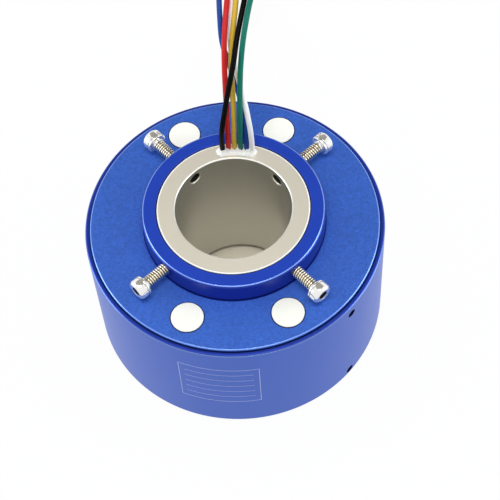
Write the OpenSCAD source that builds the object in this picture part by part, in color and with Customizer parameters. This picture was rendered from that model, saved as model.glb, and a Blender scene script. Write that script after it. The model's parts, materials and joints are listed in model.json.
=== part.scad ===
// Through-bore slip ring with six circuits. The rotor tube, its collar and its leads turn
// in two ball bearings inside a round housing that is closed by two covers.
// Origin: centre of the base. +Z is the axis of rotation, +Y passes through the lead exit.

/* [Rotor tube] */
// Diameter of the through bore, which takes the shaft
bore_d = 38.1; // [36:0.1:42]
// Wall of the rotor tube
tube_wall = 5.95; // [5.5:0.05:7]
// Height of the tube's lower end over the base
tube_recess = 1; // [0.6:0.1:1.2]
// Chamfer at the lower end of the bore
bore_foot_chamfer = 1; // [0.4:0.1:1.2]
// Chamfer at the upper end of the bore
bore_top_chamfer = 0.35; // [0.1:0.05:0.6]
// Chamfer round the tube's end faces
tube_edge_chamfer = 0.2; // [0.1:0.05:0.3]
// Wall left between the bore and the lead channel
channel_inner_wall = 1.45; // [1.2:0.05:1.7]
// Wall left between the lead channel and the outside of the tube
channel_outer_wall = 1.1; // [0.9:0.05:1.3]
// Half of the angle that the lead channel spans
channel_half_angle = 17; // [16:0.5:20]

/* [Collar and clamp screws] */
// Wall of the clamping collar
collar_wall = 5; // [4:0.1:7]
// Height of the collar
collar_h = 8; // [7.6:0.1:12]
// Gap between the collar and the top cover
collar_gap = 0.5; // [0.3:0.1:1]
// Chamfer round the collar's top
collar_chamfer = 0.6; // [0.3:0.1:1]
// Thread diameter of the clamp screws
clamp_screw_d = 4; // [3:0.5:4.5]
// Length of a clamp screw below its head
clamp_screw_length = 16; // [14:1:20]
// Distance from the bore's wall to the tip of a clamp screw
clamp_tip_inset = 3.15; // [1:0.05:4]
// Diameter of a clamp screw's head
clamp_head_d = 7; // [5.5:0.5:7.5]
// Height of a clamp screw's head
clamp_head_h = 4; // [3:0.5:5]
// Width across flats of the clamp screws' sockets
clamp_socket_af = 3; // [2.5:0.5:4]

/* [Bearings] */
// Radial section of a bearing, from its bore to its outside
bearing_section = 7.5; // [7:0.1:9]
// Width of a bearing
bearing_w = 7; // [6:0.5:9]
// Thickness of each bearing race
race_t = 2.4; // [2.2:0.1:2.6]
// Diameter of a bearing ball
ball_d = 4.2; // [3.6:0.1:4.4]
// Number of balls in a bearing
ball_count = 24; // [12:1:26]
// Thickness of a ball cage
cage_t = 1.5; // [1:0.1:1.6]
// Width of a ball cage
cage_w = 6; // [5:0.1:6.4]

/* [Ring stack] */
// Height of a conducting ring
ring_h = 2; // [1.6:0.1:3]
// Radial thickness of a conducting ring
ring_t = 4; // [3:0.1:5]
// Height of an insulating ring
insulator_h = 2; // [1.4:0.1:3]
// How far an insulating ring stands out beyond the conducting rings
insulator_lip = 2; // [1.2:0.1:3]
// Thickness of the insulating sleeve on the tube
sleeve_t = 2; // [1:0.1:3]
// Height of the washer under the ring stack
washer_h = 2; // [1:0.1:3]
// Thickness of the retaining ring on the tube's lower end
circlip_h = 1.7; // [1.2:0.1:1.7]
// Depth of the retaining ring's groove
circlip_groove_depth = 1.5; // [1:0.1:1.8]

/* [Brushes and posts] */
// Diameter of a brush wire
wire_d = 0.8; // [0.5:0.1:1]
// Running gap between a brush wire and its ring
brush_gap = 0.2; // [0.1:0.05:0.3]
// Distance between the two legs of a brush
brush_leg_span = 16; // [12:1:20]
// How far a brush's legs stand out behind the block
brush_tail = 1.2; // [0.8:0.1:1.5]
// Gap between the insulating rings and a brush block
block_gap = 1; // [0.6:0.1:2]
// Radial thickness of a brush block
block_t = 9.4; // [9:0.1:11]
// Half of the angle that a brush block spans
block_half_angle = 34; // [32:1:40]
// Diameter of a post
post_d = 7; // [6:0.5:8]
// Half of the angle between the two posts of a pair
post_half_angle = 24.5; // [20:0.5:26]

/* [Housing and covers] */
// Space between a brush block and the housing
housing_space = 2.6; // [2.2:0.1:4]
// Wall of the housing
housing_wall = 3.5; // [3:0.1:5]
// Wall of the housing round the covers
rim_wall = 1.5; // [1.2:0.1:2]
// Height of the lip of the bottom cover, below its bearing
bottom_lip = 4; // [3.4:0.1:6]
// Height of the lip of the top cover, above its bearing
top_lip = 3; // [2.5:0.1:5]
// Gap between the tube and the lips of the covers
lip_gap = 4; // [3.8:0.1:4.6]
// How far the top cover stands over the housing's rim
cover_proud = 1; // [0:0.1:2]
// Chamfer round the housing's base
foot_chamfer = 1; // [0.4:0.1:1.1]
// Chamfer round the housing's rim
rim_chamfer = 0.5; // [0.2:0.1:0.7]
// Chamfer round the covers
cover_chamfer = 0.4; // [0.2:0.1:0.8]
// Turn of the stator about the axis, against the rotor
stator_turn = 4.5; // [-20:0.5:20]

/* [Stator screws and seals] */
// Length of a post screw
post_screw_length = 20; // [16:1:20]
// Diameter of a post screw's countersunk head
post_head_d = 7.5; // [7:0.5:8]
// Depth of the post screws' heads under the covers' faces
post_head_inset = 0.3; // [0.2:0.1:1]
// Diameter of a seal over a post screw
seal_d = 10.5; // [9:0.5:12]
// Thickness of a seal
seal_h = 0.3; // [0.1:0.1:0.5]
// Thread diameter of the covers' grub screws
grub_d = 3; // [2:0.5:4]
// Length of a grub screw
grub_length = 6; // [4:0.5:8]
// Distance of the upper grub screws below the rim
grub_drop = 4.8; // [3:0.1:7]
// Height of the lower grub screws over the base
grub_foot = 3; // [2.8:0.1:6]
// Direction of one grub screw of each pair, about the axis
grub_angle = -42.5; // [-60:0.5:-30]
// Diameter of the stator leads' outlet in the housing
outlet_d = 8; // [6:0.5:10]

/* [Leads and potting] */
// Diameter of a lead
lead_d = 1.8; // [1.4:0.1:1.8]
// Diameter of a ring's jumper wire
jumper_d = 1.2; // [0.8:0.1:1.2]
// Height of the potting pad over the tube's end face
pad_h = 0.5; // [0.3:0.1:1]
// How far the potting pad spreads beyond the channel
pad_spread = 0.3; // [0.1:0.05:0.4]

/* [Fits] */
// Radial clearance of what is seated
seat_clearance = 0.02; // [0.01:0.01:0.04]
// Radial clearance of a screw in its hole
screw_clearance = 0.05; // [0.02:0.01:0.08]
// Radial clearance of the covers in the housing
cover_clearance = 0.15; // [0.05:0.05:0.25]
// Clearance of the balls in their grooves
ball_clearance = 0.15; // [0.1:0.05:0.2]

/* [Hidden] */
$fn = 96;
wire_fn = 24;
over = 1;

ring_count = 6;
screw_count = 4;
quarter = 90;

bore_r = bore_d / 2;
tube_r = bore_r + tube_wall;
channel_in_r = bore_r + channel_inner_wall;
channel_out_r = tube_r - channel_outer_wall;
channel_r = (channel_in_r + channel_out_r) / 2;

// Heights, from the base up
lower_bearing_z = bottom_lip;
cavity_z = lower_bearing_z + bearing_w;
stack_z = cavity_z + washer_h;
stack_pitch = ring_h + insulator_h;
stack_h = ring_count * stack_pitch + insulator_h;
upper_bearing_z = stack_z + stack_h;
cavity_h = upper_bearing_z - cavity_z;
cover_top_z = upper_bearing_z + bearing_w + top_lip;
rim_z = cover_top_z - cover_proud;
collar_z = cover_top_z + collar_gap;
tube_top_z = collar_z + collar_h;
clamp_z = collar_z + collar_h / 2;
pad_top_z = tube_top_z + pad_h;
potting_z = upper_bearing_z + over;

// Radii, from the tube outwards
collar_r = tube_r + collar_wall;
bearing_r = tube_r + bearing_section;
pitch_r = tube_r + bearing_section / 2;
spacer_r = tube_r + race_t - 0.1;
lip_r = tube_r + lip_gap;
sleeve_r = tube_r + sleeve_t;
ring_r = sleeve_r + ring_t;
insulator_r = ring_r + insulator_lip;
block_in_r = insulator_r + block_gap;
block_out_r = block_in_r + block_t;
post_circle_r = (block_in_r + block_out_r) / 2;
cavity_r = block_out_r + housing_space;
housing_r = cavity_r + housing_wall;
rim_in_r = housing_r - rim_wall;
cover_r = rim_in_r - cover_clearance;

clamp_tip_r = bore_r + clamp_tip_inset;
clamp_head_r = clamp_tip_r + clamp_screw_length;
socket_depth = clamp_head_h / 2;

post_screw_d = 4;
post_hole_depth = post_screw_length - (bearing_w + top_lip) + over;
post_socket_af = 2.5;
post_socket_depth = 1.5;
grub_out_r = housing_r - 1.2;
grub_in_r = grub_out_r - grub_length;
grub_socket_af = grub_d / 2;
grub_hole_d = grub_d + 0.2;
grommet_lip = 0.8;
outlet_z = cavity_z + cavity_h / 2;

ball_r = ball_d / 2;
groove_r = ball_r + ball_clearance;
lug_r = lip_r - 0.6;
circlip_r = tube_r + 1.6;
circlip_half_gap = 9;

// ---- Shapes that repeat ----

function ring_z(i) = stack_z + insulator_h + ring_h / 2 + i * stack_pitch;

module washer_shape(inner_r, outer_r, z, h) {
    translate([0, 0, z])
        rotate_extrude()
            translate([inner_r, 0])
                square([outer_r - inner_r, h]);
}

module sector(inner_r, outer_r, z, h, half_angle) {
    translate([0, 0, z])
        rotate([0, 0, quarter - half_angle])
            rotate_extrude(angle = 2 * half_angle)
                translate([inner_r, 0])
                    square([outer_r - inner_r, h]);
}

// A wedge from the axis outwards, centred on -Y
module wedge(half_angle, z, h) {
    far = 2 * tube_r;
    translate([0, 0, z])
        linear_extrude(h)
            polygon([[0, 0], [-far * sin(half_angle), -far * cos(half_angle)],
                     [far * sin(half_angle), -far * cos(half_angle)]]);
}

// The lead channel's curved slot, centred on +Y and spread on all its sides
module channel_slot(spread, z, h) {
    sector(channel_in_r - spread, channel_out_r + spread, z, h,
        channel_half_angle + atan(spread / channel_r));
}

module on_stator() {
    rotate([0, 0, stator_turn])
        children();
}

module at_posts() {
    for (side = [-1, 1], half = [-1, 1])
        rotate([0, 0, side * quarter + half * post_half_angle])
            translate([post_circle_r, 0, 0])
                children();
}

// Lays children's +Z along the outward radius at this height, for an opposite pair
module at_grubs(z) {
    for (side = [0, 1])
        rotate([0, 0, grub_angle + side * 180])
            translate([0, 0, z])
                rotate([0, quarter, 0])
                    children();
}

module at_clamp_screw(i) {
    rotate([0, 0, quarter * (i - 0.5)])
        translate([0, 0, clamp_z])
            rotate([0, quarter, 0])
                children();
}

module hex_prism(across_flats, h) {
    cylinder(d = across_flats / cos(30), h = h, $fn = 6);
}

// ---- Stator ----

module housing() {
    color("royalblue")
        on_stator()
            difference() {
                rotate_extrude()
                    polygon([
                        [cavity_r, cavity_z], [rim_in_r, cavity_z], [rim_in_r, 0],
                        [housing_r - foot_chamfer, 0], [housing_r, foot_chamfer],
                        [housing_r, rim_z - rim_chamfer], [housing_r - rim_chamfer, rim_z],
                        [rim_in_r + cover_clearance, rim_z], [rim_in_r, rim_z - cover_clearance],
                        [rim_in_r, upper_bearing_z], [cavity_r, upper_bearing_z]
                    ]);
                at_grubs(grub_foot)
                    cylinder(d = grub_hole_d, h = housing_r + over);
                at_grubs(rim_z - grub_drop)
                    cylinder(d = grub_hole_d, h = housing_r + over);
                translate([0, 0, outlet_z])
                    rotate([-quarter, 0, 0])
                        cylinder(d = outlet_d, h = housing_r + over);
            }
}

module top_cover() {
    color("mediumblue")
        on_stator()
            difference() {
                rotate_extrude()
                    polygon([
                        [bearing_r + seat_clearance, upper_bearing_z], [cover_r, upper_bearing_z],
                        [cover_r, cover_top_z - cover_chamfer], [cover_r - cover_chamfer, cover_top_z],
                        [lip_r, cover_top_z], [lip_r, upper_bearing_z + bearing_w],
                        [bearing_r + seat_clearance, upper_bearing_z + bearing_w]
                    ]);
                at_posts() {
                    translate([0, 0, cover_top_z])
                        mirror([0, 0, 1])
                            countersink(bearing_w + top_lip);
                }
                at_grubs(rim_z - grub_drop)
                    grub_hole();
            }
}

module bottom_cover() {
    color("royalblue")
        on_stator()
            difference() {
                rotate_extrude()
                    polygon([
                        [lip_r, 0], [cover_r - cover_chamfer, 0], [cover_r, cover_chamfer],
                        [cover_r, cavity_z], [bearing_r + seat_clearance, cavity_z],
                        [bearing_r + seat_clearance, lower_bearing_z], [lip_r, lower_bearing_z]
                    ]);
                at_posts()
                    countersink(cavity_z);
                at_grubs(grub_foot)
                    grub_hole();
            }
}

// A countersunk hole through a cover, from its outer face inwards
module countersink(h) {
    head_r = post_head_d / 2 + screw_clearance;
    shank_r = post_screw_d / 2 + screw_clearance;
    translate([0, 0, -over])
        cylinder(r = shank_r, h = h + 2 * over);
    translate([0, 0, post_head_inset])
        cylinder(r1 = head_r, r2 = shank_r, h = head_r - shank_r);
    translate([0, 0, -over])
        cylinder(r = head_r, h = post_head_inset + over);
}

module grub_hole() {
    translate([0, 0, grub_in_r])
        cylinder(r = grub_d / 2 + screw_clearance, h = grub_length + 2 * over);
}

module cover_seals() {
    color("ivory")
        on_stator()
            at_posts()
                translate([0, 0, cover_top_z])
                    cylinder(d = seal_d, h = seal_h);
}

// A countersunk screw whose head faces down, with its end face at z = 0
module post_screw() {
    head_r = post_head_d / 2;
    shank_r = post_screw_d / 2;
    difference() {
        union() {
            cylinder(r = shank_r, h = post_screw_length);
            cylinder(r1 = head_r, r2 = shank_r, h = head_r - shank_r);
        }
        translate([0, 0, -over])
            hex_prism(post_socket_af, post_socket_depth + over);
    }
}

module post_screws_top() {
    color("silver")
        on_stator()
            at_posts()
                translate([0, 0, cover_top_z - post_head_inset])
                    mirror([0, 0, 1])
                        post_screw();
}

module post_screws_bottom() {
    color("silver")
        on_stator()
            at_posts()
                translate([0, 0, post_head_inset])
                    post_screw();
}

module brush_posts() {
    bottom_depth = post_screw_length + post_head_inset - cavity_z + over;
    color("gainsboro")
        on_stator()
            at_posts()
                difference() {
                    translate([0, 0, cavity_z])
                        cylinder(d = post_d, h = cavity_h);
                    translate([0, 0, cavity_z - over])
                        cylinder(r = post_screw_d / 2 + screw_clearance, h = bottom_depth + over);
                    translate([0, 0, upper_bearing_z - post_hole_depth])
                        cylinder(r = post_screw_d / 2 + screw_clearance, h = post_hole_depth + over);
                }
}

// A grub screw with its point at z = 0 and its socket in the far end
module grub_screw() {
    point_h = grub_d / 4;
    difference() {
        union() {
            cylinder(d1 = grub_d / 2, d2 = grub_d, h = point_h);
            translate([0, 0, point_h])
                cylinder(d = grub_d, h = grub_length - point_h);
        }
        translate([0, 0, grub_length / 2])
            hex_prism(grub_socket_af, grub_length);
    }
}

module top_cover_grub_screws() {
    color("dimgray")
        on_stator()
            at_grubs(rim_z - grub_drop)
                translate([0, 0, grub_in_r])
                    grub_screw();
}

module bottom_cover_grub_screws() {
    color("dimgray")
        on_stator()
            at_grubs(grub_foot)
                translate([0, 0, grub_in_r])
                    grub_screw();
}

// A rubber bush with a lip on each side of the housing's wall
module stator_lead_grommet() {
    body_r = outlet_d / 2 - seat_clearance;
    lip_size = outlet_d / 2 + grommet_lip;
    color("black")
        on_stator()
            translate([0, 0, outlet_z])
                rotate([-quarter, 0, 0])
                    difference() {
                        union() {
                            translate([0, 0, cavity_r - over])
                                cylinder(r = body_r, h = housing_wall + 2 * over);
                            difference() {
                                translate([0, 0, cavity_r - grommet_lip - over])
                                    cylinder(r = lip_size, h = housing_wall + 2 * (grommet_lip + over));
                                grommet_seat();
                            }
                        }
                        rotate([quarter, 0, 0])
                            outside_grommet();
                        translate([0, 0, cavity_r / 2])
                            cylinder(r = body_r / 2, h = housing_r);
                    }
}

// The housing's wall, which the grommet's lips sit against on both sides
module grommet_seat() {
    rotate([quarter, 0, 0])
        washer_shape(cavity_r - seat_clearance, housing_r + seat_clearance, -housing_r, 2 * housing_r);
}

// What lies beyond the faces of the grommet's lips
module outside_grommet() {
    washer_shape(housing_r + grommet_lip, 2 * housing_r, -housing_r, 2 * housing_r);
    translate([0, 0, -housing_r])
        cylinder(r = cavity_r - grommet_lip, h = 2 * housing_r);
}

// A brush block that spans +Y, drilled for its posts and its brushes
module brush_block() {
    difference() {
        sector(block_in_r, block_out_r, cavity_z, cavity_h, block_half_angle);
        for (side = [-1, 1])
            rotate([0, 0, side * post_half_angle])
                translate([0, post_circle_r, cavity_z - over])
                    cylinder(r = post_d / 2 + seat_clearance, h = cavity_h + 2 * over);
        for (i = [0 : ring_count - 1], side = [-1, 1])
            translate([side * brush_leg_span / 2, 0, ring_z(i)])
                rotate([-quarter, 0, 0])
                    cylinder(r = wire_d / 2 + seat_clearance, h = block_out_r + over, $fn = wire_fn);
    }
}

// A wire bent like a staple: its bar runs across the ring, its legs pass through the block
module brush() {
    bar_y = ring_r + brush_gap + wire_d / 2;
    half_span = brush_leg_span / 2;
    leg_end = block_out_r + brush_tail;
    translate([-half_span, bar_y, 0])
        rotate([0, quarter, 0])
            cylinder(d = wire_d, h = brush_leg_span, $fn = wire_fn);
    for (side = [-1, 1])
        translate([side * half_span, bar_y, 0]) {
            sphere(d = wire_d, $fn = wire_fn);
            rotate([-quarter, 0, 0])
                cylinder(d = wire_d, h = leg_end - bar_y, $fn = wire_fn);
        }
}

module brush_row() {
    for (i = [0 : ring_count - 1])
        translate([0, 0, ring_z(i)])
            brush();
}

module rear_brush_block() {
    color("goldenrod")
        on_stator()
            brush_block();
}

module front_brush_block() {
    color("goldenrod")
        on_stator()
            rotate([0, 0, 180])
                brush_block();
}

module rear_brushes() {
    color("gold")
        on_stator()
            brush_row();
}

module front_brushes() {
    color("gold")
        on_stator()
            rotate([0, 0, 180])
                brush_row();
}

// ---- Bearings ----

module ball_groove(z) {
    translate([0, 0, z + bearing_w / 2])
        rotate_extrude()
            translate([pitch_r, 0])
                circle(r = groove_r);
}

module inner_race(z) {
    color("silver")
        difference() {
            washer_shape(tube_r + seat_clearance, tube_r + race_t, z, bearing_w);
            ball_groove(z);
        }
}

module outer_race(z) {
    color("silver")
        difference() {
            washer_shape(bearing_r - race_t, bearing_r, z, bearing_w);
            ball_groove(z);
        }
}

module at_balls(z) {
    for (i = [0 : ball_count - 1])
        rotate([0, 0, i * 360 / ball_count])
            translate([pitch_r, 0, z + bearing_w / 2])
                children();
}

module bearing_cage(z) {
    color("peru")
        difference() {
            washer_shape(pitch_r - cage_t / 2, pitch_r + cage_t / 2, z + (bearing_w - cage_w) / 2, cage_w);
            at_balls(z)
                sphere(r = ball_r + seat_clearance, $fn = wire_fn);
        }
}

module bearing_balls(z) {
    color("whitesmoke")
        at_balls(z)
            sphere(r = ball_r, $fn = wire_fn);
}

// ---- Rotor ----

module rotor_tube() {
    color("lightgray")
        difference() {
            rotate_extrude()
                polygon([
                    [bore_r + bore_foot_chamfer, tube_recess],
                    [tube_r - tube_edge_chamfer, tube_recess],
                    [tube_r, tube_recess + tube_edge_chamfer],
                    [tube_r, lower_bearing_z - circlip_h],
                    [tube_r - circlip_groove_depth, lower_bearing_z - circlip_h],
                    [tube_r - circlip_groove_depth, lower_bearing_z],
                    [tube_r, lower_bearing_z],
                    [tube_r, tube_top_z - tube_edge_chamfer],
                    [tube_r - tube_edge_chamfer, tube_top_z],
                    [bore_r + bore_top_chamfer, tube_top_z],
                    [bore_r, tube_top_z - bore_top_chamfer],
                    [bore_r, tube_recess + bore_foot_chamfer]
                ]);
            channel_slot(0, stack_z + over, tube_top_z - stack_z);
            sector(channel_r, tube_r + over, stack_z + over, stack_h - 2 * over, channel_half_angle);
            for (i = [1 : screw_count])
                at_clamp_screw(i)
                    cylinder(r = clamp_screw_d / 2 + screw_clearance, h = tube_r + over);
        }
}

module collar() {
    foot = collar_chamfer / 2;
    color("blue")
        difference() {
            rotate_extrude()
                polygon([
                    [tube_r + seat_clearance, collar_z], [collar_r - foot, collar_z],
                    [collar_r, collar_z + foot], [collar_r, tube_top_z - collar_chamfer],
                    [collar_r - collar_chamfer, tube_top_z],
                    [tube_r + seat_clearance + tube_edge_chamfer, tube_top_z],
                    [tube_r + seat_clearance, tube_top_z - tube_edge_chamfer]
                ]);
            for (i = [1 : screw_count])
                at_clamp_screw(i)
                    cylinder(r = clamp_screw_d / 2 + screw_clearance, h = collar_r + over);
        }
}

// A socket-head screw along the radius, standing out of the collar
module clamp_screw(i) {
    head_edge = 0.3;
    color("silver")
        at_clamp_screw(i)
            difference() {
                rotate_extrude()
                    polygon([
                        [0, clamp_tip_r], [clamp_screw_d / 2 - head_edge, clamp_tip_r],
                        [clamp_screw_d / 2, clamp_tip_r + head_edge],
                        [clamp_screw_d / 2, clamp_head_r], [clamp_head_d / 2, clamp_head_r],
                        [clamp_head_d / 2, clamp_head_r + clamp_head_h - head_edge],
                        [clamp_head_d / 2 - head_edge, clamp_head_r + clamp_head_h],
                        [0, clamp_head_r + clamp_head_h]
                    ]);
                translate([0, 0, clamp_head_r + clamp_head_h - socket_depth])
                    hex_prism(clamp_socket_af, clamp_head_h);
            }
}

module distance_ring() {
    distance_z = upper_bearing_z + bearing_w;
    color("gainsboro")
        washer_shape(tube_r + seat_clearance, spacer_r, distance_z, collar_z - distance_z);
}

module stack_washer() {
    color("gainsboro")
        washer_shape(tube_r + seat_clearance, spacer_r, cavity_z, washer_h);
}

// A C-shaped retaining ring with two drilled lugs at its gap
module circlip() {
    inner_r = tube_r - circlip_groove_depth + seat_clearance;
    lug_hole_d = 1.4;
    color("dimgray")
        translate([0, 0, lower_bearing_z - circlip_h])
            difference() {
                union() {
                    cylinder(r = circlip_r, h = circlip_h);
                    intersection() {
                        cylinder(r = lug_r, h = circlip_h);
                        wedge(circlip_half_gap + 8, 0, circlip_h);
                    }
                }
                translate([0, 0, -over])
                    cylinder(r = inner_r, h = circlip_h + 2 * over);
                wedge(circlip_half_gap, -over, circlip_h + 2 * over);
                for (side = [-1, 1])
                    rotate([0, 0, side * (circlip_half_gap + 4)])
                        translate([0, -circlip_r, -over])
                            cylinder(d = lug_hole_d, h = circlip_h + 2 * over, $fn = wire_fn);
            }
}

module insulating_sleeve() {
    color("saddlebrown")
        difference() {
            washer_shape(tube_r + seat_clearance, sleeve_r - seat_clearance, stack_z, stack_h);
            sector(tube_r - over, sleeve_r + over, stack_z - over, stack_h + 2 * over, channel_half_angle);
        }
}

module slip_ring(i) {
    color("gold")
        washer_shape(sleeve_r, ring_r, ring_z(i - 1) - ring_h / 2, ring_h);
}

module insulator(i) {
    color("saddlebrown")
        washer_shape(sleeve_r, insulator_r, stack_z + (i - 1) * stack_pitch, insulator_h);
}

// One bent wire for each ring, from the ring's inner face up to the potting
module ring_jumpers() {
    spread = 2 * (channel_half_angle - 4);
    color("darkorange")
        for (i = [0 : ring_count - 1])
            rotate([0, 0, spread * (i / (ring_count - 1) - 0.5)])
                translate([0, channel_r, ring_z(i)]) {
                    cylinder(d = jumper_d, h = potting_z - ring_z(i), $fn = wire_fn);
                    sphere(d = jumper_d, $fn = wire_fn);
                    rotate([-quarter, 0, 0])
                        cylinder(d = jumper_d, h = sleeve_r - channel_r - seat_clearance, $fn = wire_fn);
                }
}

module potting() {
    color("white") {
        channel_slot(0, potting_z, tube_top_z - potting_z);
        channel_slot(pad_spread, tube_top_z, pad_h);
    }
}

// ---- Leads ----

lead_sides = 8;
exit_points = 12;

// The stretch that rises from the potting and bends back
black_rise = [
    [-4.6, 21.8, 58], [-4.6, 21.6, 64], [-4.1, 21.3, 71], [-3.0, 22.3, 78.5], [-1.5, 25.8, 86.4],
    [0.0, 31.2, 92.2], [1.0, 38.4, 96.2], [2.4, 46.2, 99.8], [3.6, 54.4, 101.9]
];
red_rise = [
    [-2.6, 22.2, 58], [-2.6, 22.3, 64], [-2.5, 23.1, 70], [-2.5, 24.8, 76.2], [-2.7, 27.8, 82.9],
    [-2.9, 32.1, 89.7], [-3.0, 37.9, 95.3], [-2.7, 45.6, 99.4], [-2.4, 53.6, 101.6]
];
yellow_rise = [
    [-0.6, 22.4, 58], [-0.6, 22.4, 64], [-0.4, 23.1, 70], [-0.3, 24.9, 76.5], [-0.5, 28.1, 82.9],
    [-0.9, 32.9, 88.9], [-0.7, 38.7, 94.4], [0.1, 46.0, 99.1], [0.5, 54.0, 101.4]
];
green_rise = [
    [1.4, 22.4, 58], [1.4, 22.4, 64], [1.6, 22.9, 70.6], [1.8, 24.2, 77.4], [2.0, 27.3, 84.3],
    [2.3, 32.1, 90.7], [3.1, 38.0, 96.9], [4.4, 45.7, 101.0], [5.7, 53.9, 102.7]
];
blue_rise = [
    [3.3, 22.2, 58], [3.3, 22.8, 63.5], [3.0, 24.6, 68.8], [2.3, 27.4, 73.6], [0.9, 30.8, 79.4],
    [-1.4, 34.6, 86.6], [-3.8, 39.2, 93.3], [-4.7, 46.0, 98.5], [-5.2, 53.4, 101.3]
];
white_rise = [
    [5.2, 21.8, 58], [5.2, 21.9, 64], [4.8, 22.7, 70.5], [3.8, 25.1, 76.6], [2.3, 28.9, 82.1],
    [0.4, 34.1, 87.1], [-1.3, 39.9, 92.4], [-1.2, 46.9, 97.4], [-0.9, 54.5, 99.9]
];

// The stretch that all leads share, side by side in their own lanes: y and z
crest_y = 62;
fall = [
    [70, 99.5], [77.5, 95], [84, 88.5], [90, 80.5], [95.5, 71.5], [100.5, 62], [105, 52],
    [109.5, 42], [114.5, 32.5], [120.5, 23.5], [127.5, 15.5]
];
// The turn on the floor: x, y, z and heading from +Y towards +X
turn = [
    [0, 136, 8.5, 2], [1, 145, 3.6, 12], [4.5, 153, 1.2, 35], [11, 158.5, 1, 62],
    [19.5, 161, 1, 82], [28, 161.5, 1, 90]
];

function lead_route(rise, crest_z, lane, end_x) =
    let (last = rise[len(rise) - 1], shift = lane - last[0], end = turn[len(turn) - 1])
    concat(
        rise,
        [[last[0] + 0.35 * shift, crest_y, crest_z]],
        [for (i = [0 : len(fall) - 1])
            [last[0] + (i == 0 ? 0.7 : 1) * shift, fall[i][0], fall[i][1]]],
        [for (p = turn) [p[0] + lane * cos(p[3]), p[1] - lane * sin(p[3]), p[2]]],
        [[end_x, end[1] - lane, end[2]]]
    );

// A route's foot follows the potting, and the rest of it stays in place
function seated(route) =
    let (move = [0, channel_r - 22.2, pad_top_z - 58])
    [for (i = [0 : len(route) - 1]) route[i] + move * max(0, 1 - i / exit_points)];

function unit(v) = v / norm(v);

function heading(route, i) =
    i == 0 ? [0, 0, 1] :
    i == len(route) - 1 ? unit(route[i] - route[i - 1]) :
    unit(route[i + 1] - route[i - 1]);

// A round tube swept along a route: a ring of corners at each point, and two end faces
module swept_tube(route, d) {
    count = len(route);
    corners = [
        for (i = [0 : count - 1])
            let (t = heading(route, i), u = unit(cross([1, -1, 0], t)), v = cross(t, u))
            for (k = [0 : lead_sides - 1])
                let (a = k * 360 / lead_sides)
                route[i] + d / 2 * (cos(a) * u + sin(a) * v)
    ];
    sides = [
        for (i = [0 : count - 2], k = [0 : lead_sides - 1])
            let (a = i * lead_sides + k, b = i * lead_sides + (k + 1) % lead_sides)
            each [[a, b + lead_sides, b], [a, a + lead_sides, b + lead_sides]]
    ];
    ends = [
        [for (k = [0 : lead_sides - 1]) k],
        [for (k = [lead_sides - 1 : -1 : 0]) (count - 1) * lead_sides + k]
    ];
    polyhedron(corners, concat(sides, ends), convexity = 10);
}

module lead(paint, rise, crest_z, lane, end_x) {
    color(paint)
        swept_tube(seated(lead_route(rise, crest_z, lane, end_x)), lead_d);
}

module lead_black() { lead("black", black_rise, 102.2, 3.6, 44); }
module lead_red() { lead("red", red_rise, 101.9, -3.6, 36); }
module lead_yellow() { lead("gold", yellow_rise, 101.7, 1.2, 44); }
module lead_green() { lead("green", green_rise, 103, 6, 49); }
module lead_blue() { lead("navy", blue_rise, 101.6, -6, 34); }
module lead_white() { lead("white", white_rise, 101, -1.2, 41); }

housing();
top_cover();
bottom_cover();
cover_seals();
post_screws_top();
post_screws_bottom();
brush_posts();
top_cover_grub_screws();
bottom_cover_grub_screws();
stator_lead_grommet();
front_brush_block();
rear_brush_block();
front_brushes();
rear_brushes();
on_stator() outer_race(upper_bearing_z);  // upper_bearing_outer_race
on_stator() outer_race(lower_bearing_z);  // lower_bearing_outer_race
bearing_cage(upper_bearing_z);  // upper_bearing_cage
bearing_balls(upper_bearing_z);  // upper_bearing_balls
bearing_cage(lower_bearing_z);  // lower_bearing_cage
bearing_balls(lower_bearing_z);  // lower_bearing_balls
rotor_tube();
collar();
distance_ring();
stack_washer();
circlip();
inner_race(upper_bearing_z);  // upper_bearing_inner_race
inner_race(lower_bearing_z);  // lower_bearing_inner_race
insulating_sleeve();
slip_ring(1);  // slip_ring_1
slip_ring(2);  // slip_ring_2
slip_ring(3);  // slip_ring_3
slip_ring(4);  // slip_ring_4
slip_ring(5);  // slip_ring_5
slip_ring(6);  // slip_ring_6
insulator(1);  // insulator_1
insulator(2);  // insulator_2
insulator(3);  // insulator_3
insulator(4);  // insulator_4
insulator(5);  // insulator_5
insulator(6);  // insulator_6
insulator(7);  // insulator_7
ring_jumpers();
potting();
clamp_screw(1);  // clamp_screw_1
clamp_screw(2);  // clamp_screw_2
clamp_screw(3);  // clamp_screw_3
clamp_screw(4);  // clamp_screw_4
lead_black();
lead_red();
lead_yellow();
lead_green();
lead_blue();
lead_white();
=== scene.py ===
"""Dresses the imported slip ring: fine outer shapes, threads, leads, finishes, and a plain stage."""

import json
import math

import bmesh
import bpy
from mathutils import Matrix, Vector, noise


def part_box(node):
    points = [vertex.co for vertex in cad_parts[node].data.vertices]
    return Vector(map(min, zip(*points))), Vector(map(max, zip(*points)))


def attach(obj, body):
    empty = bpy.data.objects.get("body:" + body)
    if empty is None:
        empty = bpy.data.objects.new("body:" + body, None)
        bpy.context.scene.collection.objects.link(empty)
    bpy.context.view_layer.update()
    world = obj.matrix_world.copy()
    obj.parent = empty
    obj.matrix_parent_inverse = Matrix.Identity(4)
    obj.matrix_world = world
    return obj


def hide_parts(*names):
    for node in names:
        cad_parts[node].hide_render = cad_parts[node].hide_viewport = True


bl_info = {
    "name": "Slip Ring Dresser",
    "version": (1, 0, 0),
    "blender": (4, 5, 0),
    "location": "View3D > Sidebar > Slip Ring",
    "description": "Dresses a packed slip ring with its outer shapes, leads and finishes",
    "category": "Object",
}

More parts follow.
